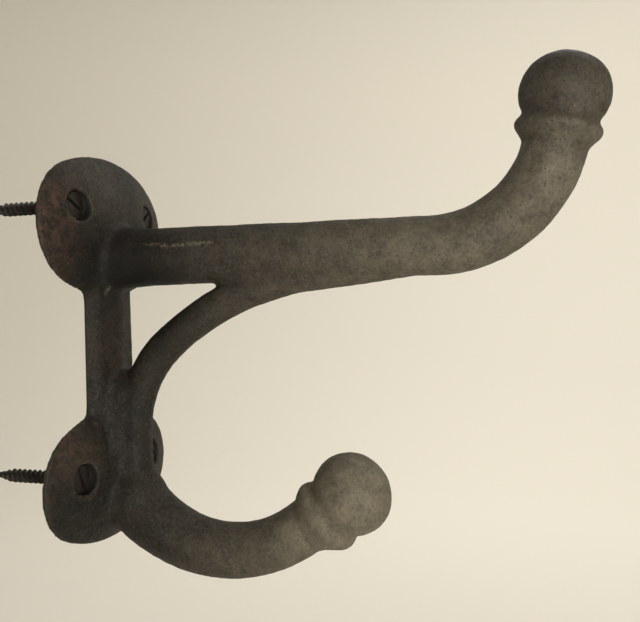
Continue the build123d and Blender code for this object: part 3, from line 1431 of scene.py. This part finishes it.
@dataclass
class Studio:
    """Pale floor that sweeps up all round, soft lights and the camera. Sizes in metres."""

    floor_up: float = -0.30
    floor_radius: float = 1.0
    sweep_radius: float = 1.1
    sweep_top: float = 1.6
    camera_at: tuple[float, float, float] = (-0.20068, -0.13059, 0.01029)
    camera_yaw: float = 73.507
    camera_pitch: float = -0.663
    camera_roll: float = -1.137
    lens: float = 40.5

    def lay_floor(self) -> None:
        """Spin the floor and its rising edge."""
        profile = [(0.0, self.floor_up), (self.floor_radius, self.floor_up)]
        for step in range(1, 13):
            angle = math.radians(7.0 * step)
            radius = self.floor_radius + self.sweep_radius * math.sin(angle)
            height = self.floor_up + self.sweep_radius * (1 - math.cos(angle))
            profile.append((radius, height))
        profile.append((profile[-1][0] + 0.05, self.sweep_top))
        bm = bmesh.new()
        spin(bm, trace(bm, profile), 96)
        bmesh.ops.remove_doubles(bm, verts=bm.verts, dist=1e-6)
        bmesh.ops.recalc_face_normals(bm, faces=bm.faces)
        if sum(face.normal.z for face in bm.faces) < 0:
            bmesh.ops.reverse_faces(bm, faces=bm.faces)
        floor = shown("studio_floor", bm)
        smooth_faces(floor.data)
        floor.data.materials.append(StudioPaper().make())

    def light(
        self,
        name: str,
        at: tuple[float, float, float],
        aim: tuple[float, float, float],
        size: float,
        power: float,
        colour: Colour,
    ) -> None:
        """Hang one soft square light.

        Args:
            name: name of the light.
            at: where it hangs.
            aim: the point that it faces.
            size: side of the square.
            power: watts.
            colour: colour of the light.
        """
        lamp = bpy.data.lights.new(name, "AREA")
        lamp.shape, lamp.size, lamp.energy, lamp.color = "SQUARE", size, power, colour
        holder = bpy.data.objects.new(name, lamp)
        holder.location = at
        facing = Vector(aim) - Vector(at)
        holder.rotation_euler = facing.to_track_quat("-Z", "Y").to_euler()
        bpy.context.scene.collection.objects.link(holder)

    def light_all(self) -> None:
        """Hang the lights and tint the surroundings."""
        self.light("key", (-0.32, -0.28, -0.05), (0, -0.09, -0.02), 0.22, 1.75, (1.0, 0.97, 0.92))
        self.light("side", (-0.75, -0.35, 0.35), (0, -0.06, 0), 0.6, 0.8, (1.0, 0.97, 0.92))
        self.light("above", (0.1, -0.3, 0.8), (0, -0.08, 0), 0.6, 0.3, SOFT_WHITE)
        self.light("far_side", (0.6, -0.25, 0.68), (0, -0.07, 0), 0.4, 1.9, SOFT_WHITE)
        self.light("back", (0.1, 0.7, 0.68), (0, 0, 0), 0.4, 1.4, SOFT_WHITE)
        self.light("sweep", (0.75, -0.25, 0.9), (2.06, -0.6, 0.0), 0.6, 8.5, SOFT_WHITE)
        self.light("far_sweep", (0.6, 0.3, 0.9), (1.95, 0.8, 0.0), 0.6, 3.6, SOFT_WHITE)
        world = bpy.data.worlds.new("surroundings")
        world.use_nodes = True
        tint = world.node_tree.nodes["Background"]
        tint.inputs["Color"].default_value = tone(240, 236, 226)
        tint.inputs["Strength"].default_value = 0.32
        bpy.context.scene.world = world

    def set_camera(self) -> None:
        """Put the camera at its viewing place."""
        yaw, pitch = math.radians(self.camera_yaw), math.radians(self.camera_pitch)
        roll = math.radians(self.camera_roll)
        ahead = Vector(
            (
                math.sin(yaw) * math.cos(pitch),
                math.cos(yaw) * math.cos(pitch),
                math.sin(pitch),
            )
        )
        right = Vector((math.cos(yaw), -math.sin(yaw), 0))
        above = right.cross(ahead)
        rolled_right = right * math.cos(roll) + above * math.sin(roll)
        rolled_above = above * math.cos(roll) - right * math.sin(roll)
        axes = Matrix((rolled_right, rolled_above, -ahead)).transposed().to_4x4()
        data = bpy.data.cameras.new("camera")
        data.lens, data.sensor_width, data.sensor_fit = self.lens, 36.0, "HORIZONTAL"
        data.clip_start, data.clip_end = 0.01, 20.0
        camera = bpy.data.objects.new("camera", data)
        camera.matrix_world = Matrix.Translation(self.camera_at) @ axes
        bpy.context.scene.collection.objects.link(camera)
        bpy.context.scene.camera = camera

    def build(self) -> None:
        """Set up the floor, the lights, the camera and plain colour handling."""
        self.set_camera()
        self.lay_floor()
        self.light_all()
        view = bpy.context.scene.view_settings
        view.view_transform, view.look = "Standard", "None"
        LOG.info("studio ready")


# ---------------------------------------------------------------- putting it together


def hang(
    piece: bpy.types.Object, material: bpy.types.Material, node: str
) -> None:
    """Dress a piece and let it stand for its node.

    Args:
        piece: the finished piece.
        material: its finish.
        node: the node that it stands for.
    """
    piece.data.materials.clear()
    piece.data.materials.append(material)
    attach(piece, "root")
    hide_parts(node)
    corners = sum(len(face.vertices) - 2 for face in piece.data.polygons)
    LOG.info("%s: %d triangles", piece.name, corners)


def main() -> None:
    """Build the hook, its screws and the studio, and log each piece's triangle count."""
    logging.basicConfig(level=logging.INFO, format="%(name)s: %(message)s")
    Studio().build()
    casting = HookCasting()
    hang(casting.build(), SandCastIron().make(), "hook_casting")
    steel = BlackenedSteel().make()
    places = {
        "upper_left_screw": (-1, 1, 25.0),
        "upper_right_screw": (1, 1, -40.0),
        "lower_left_screw": (-1, -1, 70.0),
        "lower_right_screw": (1, -1, 5.0),
    }
    for node, (side, height, turn) in places.items():
        screw = WoodScrew(
            name=f"wood_{node}",
            along=side * casting.screw_half_x,
            up=height * casting.screw_half_z,
            turn=turn,
        )
        hang(screw.build(), steel, node)


if __name__ == "__main__":
    main()
